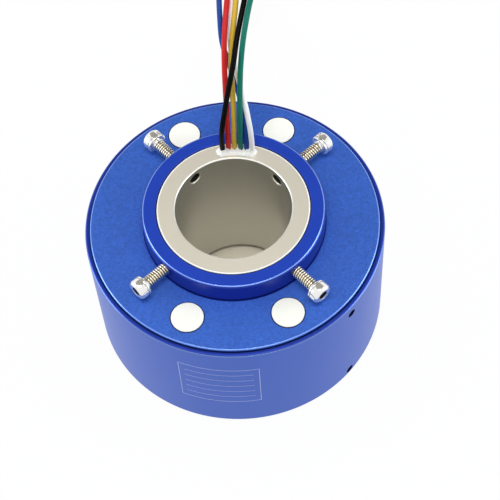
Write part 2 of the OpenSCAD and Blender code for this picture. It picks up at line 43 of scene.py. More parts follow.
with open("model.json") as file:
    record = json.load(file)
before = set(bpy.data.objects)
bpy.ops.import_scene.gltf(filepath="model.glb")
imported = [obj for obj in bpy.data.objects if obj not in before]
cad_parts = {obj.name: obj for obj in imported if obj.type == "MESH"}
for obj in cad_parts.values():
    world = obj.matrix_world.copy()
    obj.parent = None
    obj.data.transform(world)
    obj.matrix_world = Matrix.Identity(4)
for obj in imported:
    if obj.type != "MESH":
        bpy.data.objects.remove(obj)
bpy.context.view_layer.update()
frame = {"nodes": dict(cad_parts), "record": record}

MM = 0.001
FULL_TURN = 2 * math.pi
LATHE_STEPS = 240
FLAT_FACE_WEIGHT = 80
ROUNDED_SHARE = 0.45  # The most of an edge that the rounding of one corner takes
SCREW_HOLE_R = 2.05 * MM


def corners_of(node):
    """The corner points of a CAD node."""
    return [v.co for v in frame["nodes"][node].data.vertices]


def reach(node):
    """How far a CAD node reaches from the axis."""
    return max(math.hypot(c.x, c.y) for c in corners_of(node))


def nearest(node):
    """How near a CAD node comes to the axis."""
    return min(math.hypot(c.x, c.y) for c in corners_of(node))


def low_z(node):
    """The height of a CAD node's lowest point."""
    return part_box(node)[0].z


def high_z(node):
    """The height of a CAD node's highest point."""
    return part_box(node)[1].z


def middle_z(node):
    return (low_z(node) + high_z(node)) / 2


def flat_angle(node):
    """The direction of a CAD node's middle, seen from above."""
    low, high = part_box(node)
    return math.atan2(low.y + high.y, low.x + high.x)


# Main sizes, all read from the frame
housing_r = reach("housing")
rim_z = high_z("housing")
cover_r = reach("top_cover")
cover_z = high_z("top_cover")
collar_r = reach("collar")
collar_z = low_z("collar")
tube_r = nearest("collar")
bore_r = nearest("rotor_tube")
tube_z = high_z("rotor_tube")
clamp_z = middle_z("clamp_screw_1")
clamp_tip_r = nearest("clamp_screw_1")
clamp_end_r = reach("clamp_screw_1")
stator_turn = flat_angle("stator_lead_grommet") - math.pi / 2
SCREWS = ["clamp_screw_%d" % i for i in range(1, 5)]

# A clamp screw's finishes, two of them painted shade, and the numbers by which its faces take them
SCREW_FINISHES = ["screw_steel", "thread_steel", "thread_root", "hole_shade"]
THREAD, ROOT_SHADE, SHADE = 1, 2, 3


# ---- Lead routes, in millimetres: the same points as the solids' ----

RISES = {
    "black": [(-4.6, 21.8, 58), (-4.6, 21.6, 64), (-4.1, 21.3, 71), (-3.0, 22.3, 78.5),
              (-1.5, 25.8, 86.4), (0.0, 31.2, 92.2), (1.0, 38.4, 96.2), (2.4, 46.2, 99.8),
              (3.6, 54.4, 101.9)],
    "red": [(-2.6, 22.2, 58), (-2.6, 22.3, 64), (-2.5, 23.1, 70), (-2.5, 24.8, 76.2),
            (-2.7, 27.8, 82.9), (-2.9, 32.1, 89.7), (-3.0, 37.9, 95.3), (-2.7, 45.6, 99.4),
            (-2.4, 53.6, 101.6)],
    "yellow": [(-0.6, 22.4, 58), (-0.6, 22.4, 64), (-0.4, 23.1, 70), (-0.3, 24.9, 76.5),
               (-0.5, 28.1, 82.9), (-0.9, 32.9, 88.9), (-0.7, 38.7, 94.4), (0.1, 46.0, 99.1),
               (0.5, 54.0, 101.4)],
    "green": [(1.4, 22.4, 58), (1.4, 22.4, 64), (1.6, 22.9, 70.6), (1.8, 24.2, 77.4),
              (2.0, 27.3, 84.3), (2.3, 32.1, 90.7), (3.1, 38.0, 96.9), (4.4, 45.7, 101.0),
              (5.7, 53.9, 102.7)],
    "blue": [(3.3, 22.2, 58), (3.3, 22.8, 63.5), (3.0, 24.6, 68.8), (2.3, 27.4, 73.6),
             (0.9, 30.8, 79.4), (-1.4, 34.6, 86.6), (-3.8, 39.2, 93.3), (-4.7, 46.0, 98.5),
             (-5.2, 53.4, 101.3)],
    "white": [(5.2, 21.8, 58), (5.2, 21.9, 64), (4.8, 22.7, 70.5), (3.8, 25.1, 76.6),
              (2.3, 28.9, 82.1), (0.4, 34.1, 87.1), (-1.3, 39.9, 92.4), (-1.2, 46.9, 97.4),
              (-0.9, 54.5, 99.9)],
}
# Height of the crest, lane beside the others, and where the end lies along X
LANES = {
    "black": (102.2, 3.6, 44), "red": (101.9, -3.6, 36), "yellow": (101.7, 1.2, 44),
    "green": (103, 6, 49), "blue": (101.6, -6, 34), "white": (101, -1.2, 41),
}
CREST_Y = 62
FALL = [(70, 99.5), (77.5, 95), (84, 88.5), (90, 80.5), (95.5, 71.5), (100.5, 62), (105, 52),
        (109.5, 42), (114.5, 32.5), (120.5, 23.5), (127.5, 15.5)]
TURN = [(0, 136, 8.5, 2), (1, 145, 3.6, 12), (4.5, 153, 1.2, 35), (11, 158.5, 1, 62),
        (19.5, 161, 1, 82), (28, 161.5, 1, 90)]
LEAD_DIAMETER = 1.8 * MM


def lead_route(colour):
    """The points of one lead, in metres. It moves into its lane from its rise to its fall."""
    crest_part, first_fall_part = 0.35, 0.7
    rise = RISES[colour]
    crest_z, lane, end_x = LANES[colour]
    last_x = rise[-1][0]
    shift = lane - last_x
    points = list(rise)
    points.append((last_x + crest_part * shift, CREST_Y, crest_z))
    for i, (y, z) in enumerate(FALL):
        points.append((last_x + (first_fall_part if i == 0 else 1) * shift, y, z))
    for x, y, z, heading in TURN:
        angle = math.radians(heading)
        points.append((x + lane * math.cos(angle), y - lane * math.sin(angle), z))
    points.append((end_x, TURN[-1][1] - lane, TURN[-1][2]))
    return [Vector(p) * MM for p in points]


def smooth_path(points, steps):
    """A smooth line through all the points."""
    padded = [2 * points[0] - points[1], *points, 2 * points[-1] - points[-2]]
    line = []
    for a, b, c, d in zip(padded, padded[1:], padded[2:], padded[3:]):
        for k in range(steps):
            t = k / steps
            line.append(0.5 * (2 * b + (c - a) * t + (2 * a - 5 * b + 4 * c - d) * t ** 2
                               + (3 * b - a - 3 * c + d) * t ** 3))
    line.append(points[-1].copy())
    return line


# ---- Mesh helpers ----

def new_piece(name, data):
    """An object in the scene: a mesh, a curve, a light or the camera."""
    piece = bpy.data.objects.new(name, data)
    bpy.context.scene.collection.objects.link(piece)
    return piece


def mesh_from(name, verts, faces):
    mesh = bpy.data.meshes.new(name)
    mesh.from_pydata(verts, [], faces)
    mesh.update()
    return mesh


def closed_mesh(name, verts, faces):
    """A mesh whose faces all look outwards."""
    mesh = mesh_from(name, verts, faces)
    work = bmesh.new()
    work.from_mesh(mesh)
    bmesh.ops.recalc_face_normals(work, faces=work.faces)
    work.to_mesh(mesh)
    work.free()
    return mesh


def rounded_corner(before, corner, after, size, steps):
    """The points that take a corner's place when it is rounded."""
    corner = Vector(corner)
    first, second = Vector(before) - corner, Vector(after) - corner
    cut_back = min(size, ROUNDED_SHARE * first.length, ROUNDED_SHARE * second.length)
    start = corner + first.normalized() * cut_back
    end = corner + second.normalized() * cut_back
    points = []
    for k in range(steps + 1):
        t = k / steps
        points.append(tuple(start * (1 - t) ** 2 + corner * 2 * t * (1 - t) + end * t ** 2))
    return points


def filleted(outline, size):
    """A closed outline of (radius, height) points with every corner rounded."""
    afters = outline[1:] + outline[:1]
    return [point for i, after in enumerate(afters)
            for point in rounded_corner(outline[i - 1], outline[i], after, size, 3)]


def open_fillet(outline, size):
    """An open outline with its inner corners rounded."""
    inner = [point for corner in zip(outline, outline[1:], outline[2:])
             for point in rounded_corner(*corner, size, 2)]
    return [outline[0], *inner, outline[-1]]


def turned_points(outline, segments, turn=0.0):
    """The points of an outline of (radius, height) at each step round the axis."""
    points = []
    for s in range(segments):
        a = turn + FULL_TURN * s / segments
        points += [(r * math.cos(a), r * math.sin(a), z) for r, z in outline]
    return points


def wrapped_faces(rows, around):
    """Faces between rows of points that each go once round, with both ends capped."""
    faces = []
    for row in range(rows):
        low, high = row * around, (row + 1) * around
        for s in range(around):
            t = (s + 1) % around
            faces.append((low + s, low + t, high + t, high + s))
    faces.append(tuple(reversed(range(around))))
    faces.append(tuple(rows * around + s for s in range(around)))
    return faces


def lathe(name, outline, segments, turn=0.0):
    """A ring: a closed outline of (radius, height) turned about the axis."""
    count = len(outline)
    faces = []
    for s in range(segments):
        here, there = s * count, (s + 1) % segments * count
        for i in range(count):
            j = (i + 1) % count
            faces.append((here + i, there + i, there + j, here + j))
    return closed_mesh(name, turned_points(outline, segments, turn), faces)


def turned_piece(name, outline, turn=0.0):
    return new_piece(name, lathe(name, outline, LATHE_STEPS, turn))


def spindle(name, outline, segments):
    """A closed solid: an open outline of (radius, height), with both ends on the axis."""
    rim = [p for p in outline if p[0] > 0]
    count = len(rim)
    verts = turned_points(rim, segments)
    first, last = len(verts), len(verts) + 1
    verts += [(0, 0, outline[0][1]), (0, 0, outline[-1][1])]
    faces = []
    for s in range(segments):
        here, there = s * count, (s + 1) % segments * count
        for i in range(count - 1):
            faces.append((here + i, there + i, there + i + 1, here + i + 1))
        faces.append((first, there, here))
        faces.append((last, here + count - 1, there + count - 1))
    return closed_mesh(name, verts, faces)


def soften(piece, angle=35):
    """Smooth shading that keeps flat faces flat and hard edges hard."""
    mesh = piece.data
    mesh.shade_smooth()
    mesh.set_sharp_from_angle(angle=math.radians(angle))
    weighted = piece.modifiers.new("flat_faces", "WEIGHTED_NORMAL")
    weighted.keep_sharp = True
    weighted.weight = FLAT_FACE_WEIGHT
    apply_modifiers(piece)


def apply_modifiers(piece):
    """Puts the modifiers' result in the place of the piece's mesh."""
    graph = bpy.context.evaluated_depsgraph_get()
    mesh = bpy.data.meshes.new_from_object(
        piece.evaluated_get(graph), preserve_all_data_layers=True, depsgraph=graph)
    old = piece.data
    piece.modifiers.clear()
    piece.data = mesh
    mesh.name = old.name
    bpy.data.meshes.remove(old)


def cut(piece, cutters):
    """Takes the cutter meshes out of the piece."""
    tools = []
    for mesh in cutters:
        tool = new_piece("cutter", mesh)
        tools.append(tool)
        taken = piece.modifiers.new("cut", "BOOLEAN")
        taken.operation = "DIFFERENCE"
        taken.solver = "EXACT"
        taken.object = tool
    bpy.context.view_layer.update()
    apply_modifiers(piece)
    for tool in tools:
        mesh = tool.data
        bpy.data.objects.remove(tool)
        bpy.data.meshes.remove(mesh)


def rod_mesh(radius, start, end, sides=48):
    """A plain round bar along +Z, used as a drill."""
    return spindle("drill", [(0, start), (radius, start), (radius, end), (0, end)], sides)


def along_radius(angle, height):
    """Lays +Z along the outward radius at this angle and height."""
    return (Matrix.Rotation(angle, 4, "Z") @ Matrix.Translation((0, 0, height))
            @ Matrix.Rotation(math.pi / 2, 4, "Y"))


def joined(name, meshes):
    """One mesh of several, which are used up."""
    work = bmesh.new()
    for mesh in meshes:
        work.from_mesh(mesh)
        bpy.data.meshes.remove(mesh)
    whole = bpy.data.meshes.new(name)
    work.to_mesh(whole)
    work.free()
    return whole


def finish_piece(piece, body, nodes, slot, material=None):
    """Rides the piece on its body in the nodes' place, with its slot's finish or another."""
    piece.data.materials.clear()
    piece.data.materials.append(bpy.data.materials[material or slot])
    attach(piece, body)
    if nodes:
        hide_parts(*nodes)
    return piece


def paint(piece, name, test):
    """Gives a second finish to the faces that pass the test of (radius, height, slope)."""
    mesh = piece.data
    mesh.materials.append(bpy.data.materials[name])
    index = len(mesh.materials) - 1
    for face in mesh.polygons:
        middle = face.center
        if test(math.hypot(middle.x, middle.y), middle.z, face.normal.z):
            face.material_index = index


# ---- Node groups and materials ----

def add_node(tree, kind, inputs=None, **choices):
    """A shader node with its inputs linked or set, by their title or number."""
    node = tree.nodes.new(kind)
    for key, value in choices.items():
        setattr(node, key, value)
    for key, value in (inputs or {}).items():
        if isinstance(value, bpy.types.NodeSocket):
            tree.links.new(value, node.inputs[key])
        else:
            node.inputs[key].default_value = value
    return node


def length_of(tree, vector):
    node = add_node(tree, "ShaderNodeVectorMath", {0: vector}, operation="LENGTH")
    return node.outputs["Value"]


def maths(tree, operation, *values):
    """What a Math node makes of its one or two values."""
    node = add_node(tree, "ShaderNodeMath", dict(enumerate(values)), operation=operation)
    return node.outputs["Value"]


def ramp(tree, value, start=0.0, end=1.0, low=0.0, high=1.0):
    """Lays the range of values from start to end on the range from low to high."""
    node = add_node(tree, "ShaderNodeMapRange", {
        "Value": value, "From Min": start, "From Max": end, "To Min": low, "To Max": high})
    return node.outputs["Result"]


def mixed_value(tree, share, first, second):
    node = add_node(tree, "ShaderNodeMix", {0: share, 2: first, 3: second}, data_type="FLOAT")
    return node.outputs[0]


def mixed_colour(tree, share, first, second):
    node = add_node(tree, "ShaderNodeMix", {0: share, 6: first, 7: second}, data_type="RGBA")
    return node.outputs[2]


def noise_field(tree, place, scale, detail, roughness=0.5):
    node = add_node(tree, "ShaderNodeTexNoise", {
        "Vector": place, "Scale": scale, "Detail": detail, "Roughness": roughness})
    return node.outputs["Fac"]


def new_group(name, inputs):
    """A group with these inputs that gives a height and a mask, and its two end nodes."""
    group = bpy.data.node_groups.new(name, "ShaderNodeTree")
    for title, value in inputs.items():
        socket = group.interface.new_socket(title, in_out="INPUT", socket_type="NodeSocketFloat")
        socket.default_value = value
    for title in ("Height", "Mask"):
        group.interface.new_socket(title, in_out="OUTPUT", socket_type="NodeSocketFloat")
    return group, add_node(group, "NodeGroupInput"), add_node(group, "NodeGroupOutput")


def blasted_grain_group():
    """Fine blasted grain: a height for bumps and a mask for the colour's speckle."""
    group, given, made = new_group("blasted_grain", {"Scale": 2500.0, "Speckle": 0.5})
    place = add_node(group, "ShaderNodeTexCoord").outputs["Object"]
    fine = noise_field(group, place, given.outputs["Scale"], 2.0, 0.7)
    wide = noise_field(group, place, 90.0, 3.0, 0.6)
    mask = mixed_value(group, given.outputs["Speckle"], wide, ramp(group, fine, 0.3, 0.7))
    group.links.new(fine, made.inputs["Height"])
    group.links.new(mask, made.inputs["Mask"])


def turning_marks_group():
    """Lathe marks: fine rings about the axis that fade in and out."""
    group, given, made = new_group("turning_marks", {"Spacing": 0.0002, "Spread": 0.4})
    place = add_node(group, "ShaderNodeTexCoord").outputs["Object"]
    parts = add_node(group, "ShaderNodeSeparateXYZ", {"Vector": place}).outputs
    flat = add_node(group, "ShaderNodeCombineXYZ", {"X": parts["X"], "Y": parts["Y"]})
    run = maths(group, "ADD", length_of(group, flat.outputs["Vector"]), parts["Z"])
    steps = maths(group, "DIVIDE", run, given.outputs["Spacing"])
    rings = add_node(group, "ShaderNodeTexNoise", {"W": steps, "Scale": 1.0, "Detail": 2.0},
                     noise_dimensions="1D").outputs["Fac"]
    patches = noise_field(group, place, 60.0, 2.0)
    mask = mixed_value(group, given.outputs["Spread"], rings, patches)
    group.links.new(rings, made.inputs["Height"])
    group.links.new(mask, made.inputs["Mask"])


def principled(name, **constants):
    """A material of its slot's name, with these constants on its Principled shader."""
    material = bpy.data.materials.get(name) or bpy.data.materials.new(name)
    material.use_nodes = True
    shader = material.node_tree.nodes["Principled BSDF"]
    for title, value in constants.items():
        shader.inputs[title.replace("_", " ")].default_value = value
    return material, material.node_tree, shader


def vary(tree, shader, mask, dark, light, rough):
    """Colour between dark and light, and roughness between two limits, by one mask."""
    colour = mixed_colour(tree, mask, (*dark, 1), (*light, 1))
    tree.links.new(colour, shader.inputs["Base Color"])
    tree.links.new(ramp(tree, mask, 0.0, 1.0, *rough), shader.inputs["Roughness"])


def bump(tree, shader, height, depth):
    bumped = add_node(tree, "ShaderNodeBump", {
        "Height": height, "Strength": 1.0, "Distance": depth})
    tree.links.new(bumped.outputs["Normal"], shader.inputs["Normal"])


def scaled(colour, factor):
    return tuple(min(1.0, c * factor) for c in colour)


def patterned(group, sizes, name, colour, spread, rough, depth, constants):
    """A finish whose colour, roughness and bumps follow a node group's pattern."""
    _, tree, shader = principled(name, **constants)
    pattern = add_node(tree, "ShaderNodeGroup", node_tree=bpy.data.node_groups[group])
    for title, value in sizes.items():
        pattern.inputs[title].default_value = value
    vary(tree, shader, pattern.outputs["Mask"], scaled(colour, 1 - spread),
         scaled(colour, 1 + spread), rough)
    bump(tree, shader, pattern.outputs["Height"], depth)


def grained(name, colour, spread, rough, scale, speckle, depth, **constants):
    """A finish with fine blasted grain."""
    patterned("blasted_grain", {"Scale": scale, "Speckle": speckle}, name, colour, spread, rough,
              depth, constants)


def turned(name, colour, spread, rough, spacing, depth, **constants):
    """A finish with lathe marks."""
    patterned("turning_marks", {"Spacing": spacing}, name, colour, spread, rough, depth, constants)


def make_materials(look):
    """The finish of each slot, and the finishes of painted faces and small parts."""
    blasted_grain_group()
    turning_marks_group()

    # Colour, its spread, roughness from and to, grain's scale and speckle, depth of the bumps
    grained("housing_anodised", look.housing_colour, 0.05, (0.36, 0.46), 1800, 0.4, 4e-6,
            Metallic=0.5, Coat_Weight=0.08, Coat_Roughness=0.3)
    grained("cover_anodised", look.cover_colour, 0.3, (0.45, 0.6), 1500, 0.7, 1e-5, Metallic=0.35)
    grained("collar_anodised", look.collar_colour, 0.06, (0.3, 0.38), 1800, 0.4, 3e-6,
            Metallic=0.5, Coat_Weight=0.1, Coat_Roughness=0.2)
    grained("rim_anodised", look.rim_colour, 0.06, (0.34, 0.42), 1800, 0.4, 3e-6, Metallic=0.6)
    # Painted shade for the collar's side and for the cover beneath the collar
    grained("collar_wall", look.collar_shade_colour, 0.1, (0.26, 0.34), 1800, 0.4, 3e-6, Metallic=0.6)
    # Painted highlight: a pale line along the tops of the cover's and the collar's chamfers
    grained("anodised_edge", look.edge_highlight_colour, 0.1, (0.22, 0.3), 1800, 0.4, 3e-6, Metallic=0.6)
    # Painted highlight, weaker, along the lower edge of the housing's chamfer
    grained("edge_line", scaled(look.edge_highlight_colour, 0.6), 0.1, (0.22, 0.3), 1800, 0.4, 3e-6,
            Metallic=0.6)
    grained("seam_shade", (0.006, 0.01, 0.07), 0.1, (0.5, 0.6), 1800, 0.4, 3e-6,
            Specular_IOR_Level=0.2)
    grained("cage_plastic", (0.68, 0.52, 0.33), 0.06, (0.45, 0.55), 1500, 0.5, 4e-6)
    grained("block_plastic", (0.5, 0.38, 0.16), 0.12, (0.5, 0.6), 900, 0.5, 8e-6)
    grained("grommet_rubber", (0.03, 0.03, 0.03), 0.15, (0.6, 0.75), 1500, 0.5, 6e-6)
    grained("potting_resin", look.potting_colour, 0.03, (0.25, 0.4), 700, 0.5, 1.2e-5,
            Subsurface_Weight=0.1, Subsurface_Scale=0.001)
    grained("seal_film", look.seal_colour, 0.02, (0.55, 0.65), 1200, 0.4, 4e-6)
    grained("marking_etch", look.marking_colour, 0.06, (0.5, 0.6), 3000, 0.6, 3e-6, Metallic=0.3)
    for colour in RISES:
        grained("lead_" + colour, getattr(look, "lead_" + colour), 0.06, (0.3, 0.42), 500, 0.3,
                3e-6, Specular_IOR_Level=0.04 if colour == "black" else 0.15)

    # Colour, its spread, roughness from and to, spacing of the marks, depth of the bumps
    turned("tube_aluminium", look.tube_colour, 0.05, (0.35, 0.45), 0.00012, 3e-6, Metallic=0.6)
    # Painted highlights on the tube's edges: a pale chamfer, and a white strip by the outer rim
    turned("tube_edge", look.tube_edge_highlight_colour, 0.02, (0.25, 0.35), 0.00012, 2e-6, Metallic=0.5)
    turned("tube_rim", (1.0, 0.99, 0.96), 0.02, (0.45, 0.55), 0.00012, 2e-6, Metallic=0.1)
    turned("bore_wall", look.bore_colour, 0.04, (0.28, 0.36), 0.00015, 2e-6, Metallic=0.92)
    turned("hole_shade", (0.12, 0.115, 0.09), 0.2, (0.3, 0.4), 0.0003, 3e-6, Metallic=0.8)
    turned("screw_steel", look.screw_colour, 0.05, (0.07, 0.13), 0.0003, 1e-6, Metallic=0.75)
    turned("thread_steel", look.thread_colour, 0.06, (0.18, 0.26), 0.0003, 1e-6, Metallic=1.0)
    # Painted shade in the threads' roots and in the heads' grooves
    turned("thread_root", scaled(look.thread_colour, 0.28), 0.15, (0.3, 0.4), 0.0003, 1e-6,
           Metallic=0.8)
    turned("plain_steel", (0.6, 0.6, 0.61), 0.06, (0.25, 0.35), 0.0002, 2e-6, Metallic=1.0)
    turned("bearing_steel", (0.72, 0.72, 0.73), 0.04, (0.12, 0.2), 0.0002, 1e-6, Metallic=1.0)
    turned("black_steel", (0.05, 0.05, 0.055), 0.1, (0.35, 0.45), 0.0002, 2e-6, Metallic=0.9)
    turned("ring_brass", (0.83, 0.6, 0.26), 0.06, (0.18, 0.3), 0.0002, 2e-6, Metallic=1.0)
    turned("brush_gold", (0.9, 0.68, 0.3), 0.05, (0.15, 0.25), 0.0003, 1e-6, Metallic=1.0)
    turned("jumper_copper", (0.75, 0.42, 0.25), 0.05, (0.2, 0.3), 0.0003, 1e-6, Metallic=1.0)
    turned("tinned_wire", (0.75, 0.74, 0.72), 0.05, (0.2, 0.3), 0.0003, 1e-6, Metallic=1.0)
    turned("insulator_plastic", (0.25, 0.13, 0.07), 0.12, (0.4, 0.5), 0.0002, 3e-6)


# ---- Sizes and colours that a user would change ----

def colour_property(title, default):
    return bpy.props.FloatVectorProperty(name=title, description=title, subtype="COLOR", size=3,
                                         min=0, max=1, default=default)


def length_property(title, description, default):
    return bpy.props.FloatProperty(name=title, description=description, default=default,
                                   unit="LENGTH", subtype="DISTANCE")


def angle_property(title, description, degrees):
    return bpy.props.FloatProperty(name=title, description=description, subtype="ANGLE",
                                   default=math.radians(degrees))


class SlipRingShape(bpy.types.PropertyGroup):
    """Sizes of the dressed pieces."""
    edge_round: length_property("Edge rounding", "Rounding of machined edges", 0.12 * MM)
    thread_pitch: length_property("Thread pitch", "Pitch of the clamp screws' thread", 0.85 * MM)
    thread_depth: length_property("Thread depth", "Depth of the clamp screws' thread", 0.38 * MM)
    wick_height: length_property(
        "Wick height", "How far the potting creeps up the leads", 2.0 * MM)
    bare_tip: length_property("Bare tip", "Length of tinned wire at a lead's end", 5 * MM)


class SlipRingLook(bpy.types.PropertyGroup):
    """Colours of the finishes, with the painted highlights and shade."""
    housing_colour: colour_property("Housing", (0.022, 0.1, 0.52))
    cover_colour: colour_property("Top cover", (0.032, 0.125, 0.56))
    collar_colour: colour_property("Collar", (0.017, 0.075, 0.66))
    tube_colour: colour_property("Rotor tube", (0.86, 0.81, 0.69))
    bore_colour: colour_property("Bore wall", (0.59, 0.59, 0.56))
    rim_colour: colour_property("Housing rim", (0.014, 0.045, 0.4))
    # Painted shade on the collar, then painted highlights on the edges
    collar_shade_colour: colour_property("Collar wall", (0.012, 0.035, 0.34))
    edge_highlight_colour: colour_property("Edge highlights", (0.24, 0.4, 0.9))
    tube_edge_highlight_colour: colour_property("Tube edge highlights", (0.97, 0.95, 0.9))
    screw_colour: colour_property("Screws", (0.88, 0.87, 0.84))
    thread_colour: colour_property("Screw threads", (0.96, 0.86, 0.66))
    potting_colour: colour_property("Potting", (1.0, 0.99, 0.95))
    seal_colour: colour_property("Seals", (1.0, 0.99, 0.9))
    marking_colour: colour_property("Marking", (0.62, 0.68, 0.85))
    lead_black: colour_property("Black lead", (0.003, 0.003, 0.003))
    lead_red: colour_property("Red lead", (0.62, 0.02, 0.02))
    lead_yellow: colour_property("Yellow lead", (0.72, 0.48, 0.05))
    lead_green: colour_property("Green lead", (0.005, 0.17, 0.12))
    lead_blue: colour_property("Blue lead", (0.012, 0.06, 0.3))
    lead_white: colour_property("White lead", (1.0, 1.0, 1.0))


class SlipRingStage(bpy.types.PropertyGroup):
    """The camera's place and the light."""
    aim: bpy.props.FloatVectorProperty(
        name="Aim", description="Point that the camera looks at", subtype="XYZ", unit="LENGTH",
        size=3, default=(5.6 * MM, -11.04 * MM, 49 * MM))
    azimuth: angle_property("Azimuth", "Direction of the camera about the axis", -83.72)
    elevation: angle_property("Elevation", "Height of the camera over the aim", 59.31)
    roll: angle_property("Roll", "Turn of the camera about its view", -4.3)
    distance: length_property("Distance", "From the aim to the camera", 508.7 * MM)
    lens: bpy.props.FloatProperty(
        name="Lens", description="Focal length of the camera, in millimetres", default=112.53)
    ambient: bpy.props.FloatProperty(
        name="Ambient", description="Strength of the surrounding light", default=0.56)


def settings():
    """The sizes, the look and the stage that the user has set."""
    scene = bpy.context.scene
    return scene.slip_ring_shape, scene.slip_ring_look, scene.slip_ring_stage


# ---- Operators ----

class SLIPRING_OT_stage(bpy.types.Operator):
    """Sets the camera, the lights and the floor"""
    bl_idname = "slipring.stage"
    bl_label = "Stage"

    def execute(self, context):
        stage = settings()[2]
        place_camera(stage)
        make_floor()
        make_world(stage.ambient)
        make_lights()
        return {"FINISHED"}


def place_camera(stage):
    """A camera on the stage's direction from its aim, turned about its view by the roll."""
    data = bpy.data.cameras.new("camera")
    data.sensor_width = 36
    data.lens = stage.lens
    data.clip_start = 0.01
    data.clip_end = 20
    camera = new_piece("camera", data)
    flat = math.cos(stage.elevation)
    away = Vector((flat * math.cos(stage.azimuth), flat * math.sin(stage.azimuth),
                   math.sin(stage.elevation)))
    right = Vector((0, 0, 1)).cross(away).normalized()
    right = Matrix.Rotation(stage.roll, 3, away) @ right
    up = away.cross(right)
    spin = Matrix((right, up, away)).transposed().to_4x4()
    camera.matrix_world = Matrix.Translation(Vector(stage.aim) + away * stage.distance) @ spin
    bpy.context.scene.camera = camera


def make_floor():
    """A pale sheet that glows evenly where it is seen past the housing. Inside the bore it takes a
    beige tint, a painted reflection of the bore's wall.
    """
    half = 6.0
    # The beige near tint is a painted reflection of the bore's wall on the floor inside the bore
    painted_bounce_tint, far_tint = (0.85, 0.78, 0.62, 1), (0.91, 0.92, 0.96, 1)
    most_glow = 0.96
    corners = [(-half, -half, 0), (half, -half, 0), (half, half, 0), (-half, half, 0)]
    mesh = mesh_from("floor", corners, [(0, 1, 2, 3)])
    floor = new_piece("floor", mesh)
    material, tree, shader = principled("floor_paper", Roughness=0.9)
    radius = length_of(tree, add_node(tree, "ShaderNodeTexCoord").outputs["Object"])
    outside = ramp(tree, radius, bore_r, housing_r, 0.0, most_glow)
    tint = mixed_colour(tree, outside, painted_bounce_tint, far_tint)
    tree.links.new(tint, shader.inputs["Base Color"])
    glow = add_node(tree, "ShaderNodeEmission", {"Color": (1, 1, 1, 1), "Strength": 1.0})
    both = add_node(tree, "ShaderNodeMixShader", {
        0: maths(tree, "MULTIPLY", seen_rays(tree), outside), 1: shader.outputs["BSDF"],
        2: glow.outputs["Emission"]})
    tree.links.new(both.outputs["Shader"], tree.nodes["Material Output"].inputs["Surface"])
    mesh.materials.append(material)


def seen_rays(tree):
    """A mask of the rays that show the background: camera, glossy and transmission rays."""
    light = add_node(tree, "ShaderNodeLightPath")
    seen = light.outputs["Is Camera Ray"]
    for title in ("Is Glossy Ray", "Is Transmission Ray"):
        seen = maths(tree, "MAXIMUM", seen, light.outputs[title])
    return seen


def make_world(ambient):
    """A white studio. Glossy surfaces also see the dark gap over its back wall."""
    gap_colour = (0.17, 0.155, 0.11, 1)
    world = bpy.data.worlds.new("studio")
    bpy.context.scene.world = world
    world.use_nodes = True
    tree = world.node_tree
    place = add_node(tree, "ShaderNodeTexCoord").outputs["Generated"]
    parts = add_node(tree, "ShaderNodeSeparateXYZ", {"Vector": place}).outputs
    fill = ramp(tree, parts["Y"], -1.0, 1.0, 0.5 * ambient, 1.5 * ambient)
    strength = ramp(tree, seen_rays(tree), 0.0, 1.0, fill, 1.0)
    gap = add_node(tree, "ShaderNodeLightPath").outputs["Is Glossy Ray"]
    # Each side of the gap: its direction, where it starts to darken, and where it is dark
    for value, start, end in ((maths(tree, "ABSOLUTE", parts["X"]), 0.46, 0.4),
                              (parts["Y"], -0.02, 0.08), (parts["Z"], 0.42, 0.52)):
        gap = maths(tree, "MULTIPLY", gap, ramp(tree, value, start, end))
    background = tree.nodes["Background"]
    tree.links.new(mixed_colour(tree, gap, (1, 1, 1, 1), gap_colour), background.inputs["Color"])
    tree.links.new(strength, background.inputs["Strength"])


def area_light(name, place, size, power, colour):
    """A soft light that faces the part."""
    data = bpy.data.lights.new(name, "AREA")
    data.shape = "RECTANGLE"
    data.size, data.size_y = size
    data.energy = power
    data.color = colour
    lamp = new_piece(name, data)
    lamp.location = place
    part_middle = Vector((0, 0, 0.03))
    lamp.rotation_euler = (part_middle - Vector(place)).to_track_quat("-Z", "Y").to_euler()


def make_lights():
    cool, white = (0.8, 0.94, 1.0), (1, 1, 1)
    area_light("left_softbox", (-0.85, -0.05, 0.25), (0.5, 0.5), 2.6, cool)
    area_light("right_softbox", (0.85, 0.0, 0.25), (0.5, 0.5), 2.4, cool)
    area_light("top_softbox", (0.0, -0.12, 1.05), (0.5, 0.35), 4.4, white)


class SLIPRING_OT_leads(bpy.types.Operator):
    """Makes the six leads with their tinned ends"""
    bl_idname = "slipring.leads"
    bl_label = "Leads"

    def execute(self, context):
        shape = settings()[0]
        for colour in RISES:
            make_lead(colour, shape.bare_tip)
        return {"FINISHED"}


def make_lead(colour, bare_tip):
    """One lead as a round wire up to its stripped end, with the tinned tip on it."""
    node = "lead_" + colour
    route = smooth_path(lead_route(colour), 6)
    end = route[-1]
    stripped = [p for p in route if (p - end).length > bare_tip]
    stripped.append(end + (stripped[-1] - end).normalized() * bare_tip)
    data = bpy.data.curves.new("wire_" + colour, "CURVE")
    data.dimensions = "3D"
    data.bevel_depth = LEAD_DIAMETER / 2
    data.bevel_resolution = 6
    data.use_fill_caps = True
    spline = data.splines.new("POLY")
    spline.points.add(len(stripped) - 1)
    for point, place in zip(spline.points, stripped):
        point.co = (*place, 1)
    spline.use_smooth = True
    wire = new_piece("wire_" + colour, data)
    finish_piece(wire, "rotor", [node], node)
    tip = make_tip(colour, stripped[-1], end)


